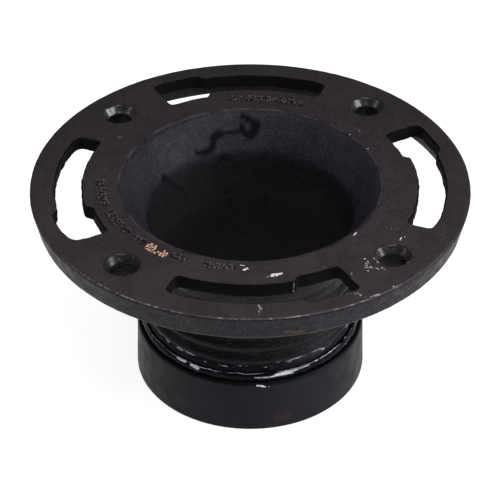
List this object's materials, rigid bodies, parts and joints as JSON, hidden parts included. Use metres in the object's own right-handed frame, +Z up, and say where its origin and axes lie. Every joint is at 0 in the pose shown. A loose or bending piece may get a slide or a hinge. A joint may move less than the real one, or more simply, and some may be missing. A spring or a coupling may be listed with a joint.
{
  "type": "toilet flange",
  "caption": "Round cast-iron closet flange with keyhole bolt slots, countersunk screw holes, a funnel mouth, a ribbed neck and a push-in rubber gasket sleeve.",
  "frame": {"origin": "centre of the gasket's foot, on the plane that the part stands on", "axes": "+Z up the bore to the sealing face, +X through the middle of one bolt slot"},
  "size_m": [0.1778, 0.1778, 0.091],
  "materials": {
    "cast_iron": "rough sand-cast, black bitumen paint, worn at the edges",
    "gasket_rubber": "smooth moulded satin black rubber",
    "sealant": "wet glossy black sealant with pale streaks"
  },
  "bodies": {
    "root": {"flange_casting": "cast_iron", "gasket_sleeve": "gasket_rubber", "sealant_bead": "sealant"}
  },
  "joints": []
}
